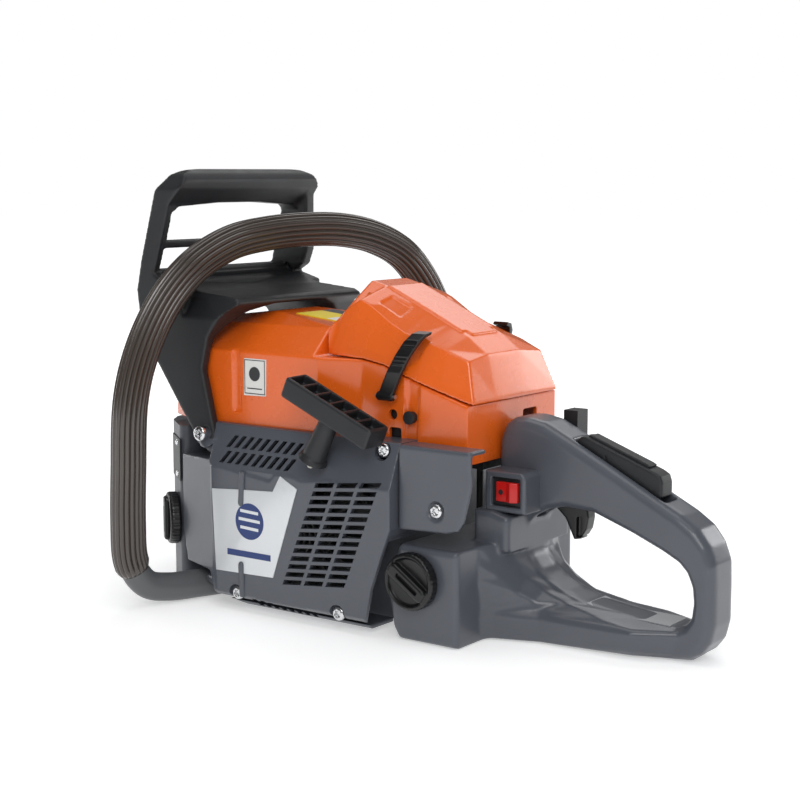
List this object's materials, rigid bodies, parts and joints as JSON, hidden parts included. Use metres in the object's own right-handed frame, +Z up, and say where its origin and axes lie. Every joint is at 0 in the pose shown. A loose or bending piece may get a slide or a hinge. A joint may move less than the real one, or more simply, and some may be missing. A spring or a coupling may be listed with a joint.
{
  "type": "chainsaw power head",
  "caption": "Petrol chainsaw power head without bar or chain: orange engine covers, grey body, looped front handle, hand guard, rope starter and rear throttle handle.",
  "frame": {"origin": "on the floor under the crankshaft axis, in the middle plane of the crankcase", "axes": "+X forward towards the bar, +Y to the starter side, +Z up"},
  "size_m": [0.47, 0.2757, 0.318],
  "materials": {
    "body_grey": "satin blue-grey moulding",
    "case_metal": "grey painted light-alloy die casting",
    "orange": "gloss orange moulding",
    "black": "fine-grained black moulding",
    "red": "gloss red",
    "grip_rubber": "semi-gloss ribbed sleeve",
    "tube_paint": "grey painted tube",
    "steel": "machined steel",
    "zinc": "bright zinc screws",
    "aluminium": "cast aluminium",
    "muffler_black": "heat-proof black",
    "label": "light printed plate",
    "seal_rubber": "black rubber",
    "filter_cloth": "pleated filter element",
    "rope": "braided cord",
    "ceramic": "plug with light insulator"
  },
  "bodies": {
    "power_head": {"crankcase": "case_metal", "main_bearings": "steel", "crank_seals": "seal_rubber", "rod_pins": "steel", "piston": "aluminium", "connecting_rod": "steel", "cylinder": "aluminium", "spark_plug": "ceramic", "spark_plug_lead": "seal_rubber", "ignition_coil": "black", "muffler": "muffler_black", "starter_cover": "body_grey", "starter_label_plate": "label", "guard_pivot_screws": "zinc", "recoil_spring": "steel", "clutch_cover": "body_grey", "bar_studs": "steel", "bar_nuts": "zinc", "brake_band": "steel", "oil_pump": "aluminium", "chain_tensioner": "steel", "bumper_spike": "steel", "cylinder_cover": "orange", "filter_cover": "orange", "carburettor": "aluminium", "intake_boot": "seal_rubber", "intake_elbow": "black", "air_filter": "filter_cloth", "fuel_line_and_filter": "seal_rubber", "tank_and_handle": "body_grey", "rear_handle_right": "body_grey", "switch_housing": "body_grey", "rear_side_panel": "body_grey", "cover_screws": "zinc", "mount_springs": "steel", "hinge_pins": "steel", "pressure_valve": "steel", "front_handle_tube": "tube_paint", "front_handle_grip": "grip_rubber"},
    "crankshaft": {"crankshaft": "steel", "flywheel": "aluminium", "clutch_shoes": "steel"},
    "clutch_drum": {"clutch_drum": "steel"},
    "starter_pulley": {"starter_pulley": "black"},
    "pull_handle": {"pull_handle": "black", "starter_rope": "rope"},
    "hand_guard": {"hand_guard": "black"},
    "throttle_trigger": {"throttle_trigger": "black"},
    "throttle_lockout": {"throttle_lockout": "black"},
    "throttle_valve": {"throttle_valve": "steel"},
    "choke_valve": {"choke_valve": "steel"},
    "stop_switch": {"stop_switch": "red"},
    "choke_knob": {"choke_knob": "black"},
    "fuel_cap_seal": {"fuel_cap_seal": "seal_rubber"},
    "fuel_cap": {"fuel_cap": "black"},
    "oil_cap_seal": {"oil_cap_seal": "seal_rubber"},
    "oil_cap": {"oil_cap": "black"},
    "filter_clip_left": {"filter_clip_left": "black"},
    "filter_clip_right": {"filter_clip_right": "black"},
    "pressure_button": {"pressure_button": "black"}
  },
  "joints": [
    {"name": "crankshaft_spin", "type": "hinge", "parent": "power_head", "child": "crankshaft", "pos_m": [0, 0, 0.062], "axis": [0, 1, 0], "continuous": true},
    {"name": "clutch_drum_spin", "type": "hinge", "parent": "power_head", "child": "clutch_drum", "pos_m": [0, 0, 0.062], "axis": [0, 1, 0], "continuous": true},
    {"name": "pull_handle_slide", "type": "slide", "parent": "power_head", "child": "pull_handle", "axis": [-0.4741, 0, 0.8805], "range_m": [0, 0.85], "stiffness_N_per_m": 14, "springref_m": -0.6},
    {"name": "starter_pulley_spin", "type": "hinge", "parent": "power_head", "child": "starter_pulley", "pos_m": [0, 0, 0.062], "axis": [0, 1, 0], "range_deg": [-2230, 5]},
    {"name": "hand_guard_tilt", "type": "hinge", "parent": "power_head", "child": "hand_guard", "pos_m": [0.087, 0, 0.126], "axis": [0, 1, 0], "range_deg": [0, 22]},
    {"name": "throttle_trigger_pull", "type": "hinge", "parent": "power_head", "child": "throttle_trigger", "pos_m": [-0.16, 0, 0.105], "axis": [0, 1, 0], "range_deg": [0, 12], "stiffness_Nm_per_rad": 1.2, "springref_deg": -5.73},
    {"name": "throttle_lockout_press", "type": "hinge", "parent": "power_head", "child": "throttle_lockout", "pos_m": [-0.19, 0, 0.127], "axis": [0, 1, 0], "range_deg": [-8, 0], "stiffness_Nm_per_rad": 2.5, "springref_deg": 5.73},
    {"name": "throttle_valve_turn", "type": "hinge", "parent": "power_head", "child": "throttle_valve", "pos_m": [-0.064, 0, 0.129], "axis": [0, 1, 0], "range_deg": [0, 76]},
    {"name": "stop_switch_slide", "type": "slide", "parent": "power_head", "child": "stop_switch", "axis": [1, 0, 0], "range_m": [0, 0.003]},
    {"name": "choke_knob_pull", "type": "slide", "parent": "power_head", "child": "choke_knob", "axis": [-1, 0, 0], "range_m": [0, 0.012]},
    {"name": "choke_valve_turn", "type": "hinge", "parent": "power_head", "child": "choke_valve", "pos_m": [-0.089, 0, 0.129], "axis": [0, 1, 0], "range_deg": [0, 76]},
    {"name": "fuel_cap_lift", "type": "slide", "parent": "power_head", "child": "fuel_cap_seal", "axis": [0, 1, 0], "range_m": [0, 0.006]},
    {"name": "fuel_cap_turn", "type": "hinge", "parent": "fuel_cap_seal", "child": "fuel_cap", "pos_m": [-0.102, 0.08, 0.043], "axis": [0, 1, 0], "range_deg": [0, 724]},
    {"name": "oil_cap_lift", "type": "slide", "parent": "power_head", "child": "oil_cap_seal", "axis": [0.6189, 0.7855, 0], "range_m": [0, 0.006]},
    {"name": "oil_cap_turn", "type": "hinge", "parent": "oil_cap_seal", "child": "oil_cap", "pos_m": [0.138, 0.05675, 0.053], "axis": [0.6189, 0.7855, 0], "range_deg": [0, 724]},
    {"name": "filter_clip_left_turn", "type": "hinge", "parent": "power_head", "child": "filter_clip_left", "pos_m": [-0.065, 0.0623, 0.163], "axis": [-1, 0, 0], "range_deg": [0, 65]},
    {"name": "filter_clip_right_turn", "type": "hinge", "parent": "power_head", "child": "filter_clip_right", "pos_m": [-0.065, -0.0623, 0.163], "axis": [1, 0, 0], "range_deg": [0, 65]},
    {"name": "pressure_button_press", "type": "slide", "parent": "power_head", "child": "pressure_button", "axis": [0, -1, 0], "range_m": [0, 0.004], "stiffness_N_per_m": 1500, "springref_m": -0.001}
  ],
  "couplings": [
    {"joint": "starter_pulley_spin", "follows": "pull_handle_slide", "rad_per_m": -45.455},
    {"joint": "throttle_valve_turn", "follows": "throttle_trigger_pull", "ratio": 6.25},
    {"joint": "choke_valve_turn", "follows": "choke_knob_pull", "rad_per_m": 109.08},
    {"joint": "fuel_cap_turn", "follows": "fuel_cap_lift", "rad_per_m": 2094.4},
    {"joint": "oil_cap_turn", "follows": "oil_cap_lift", "rad_per_m": 2094.4}
  ]
}
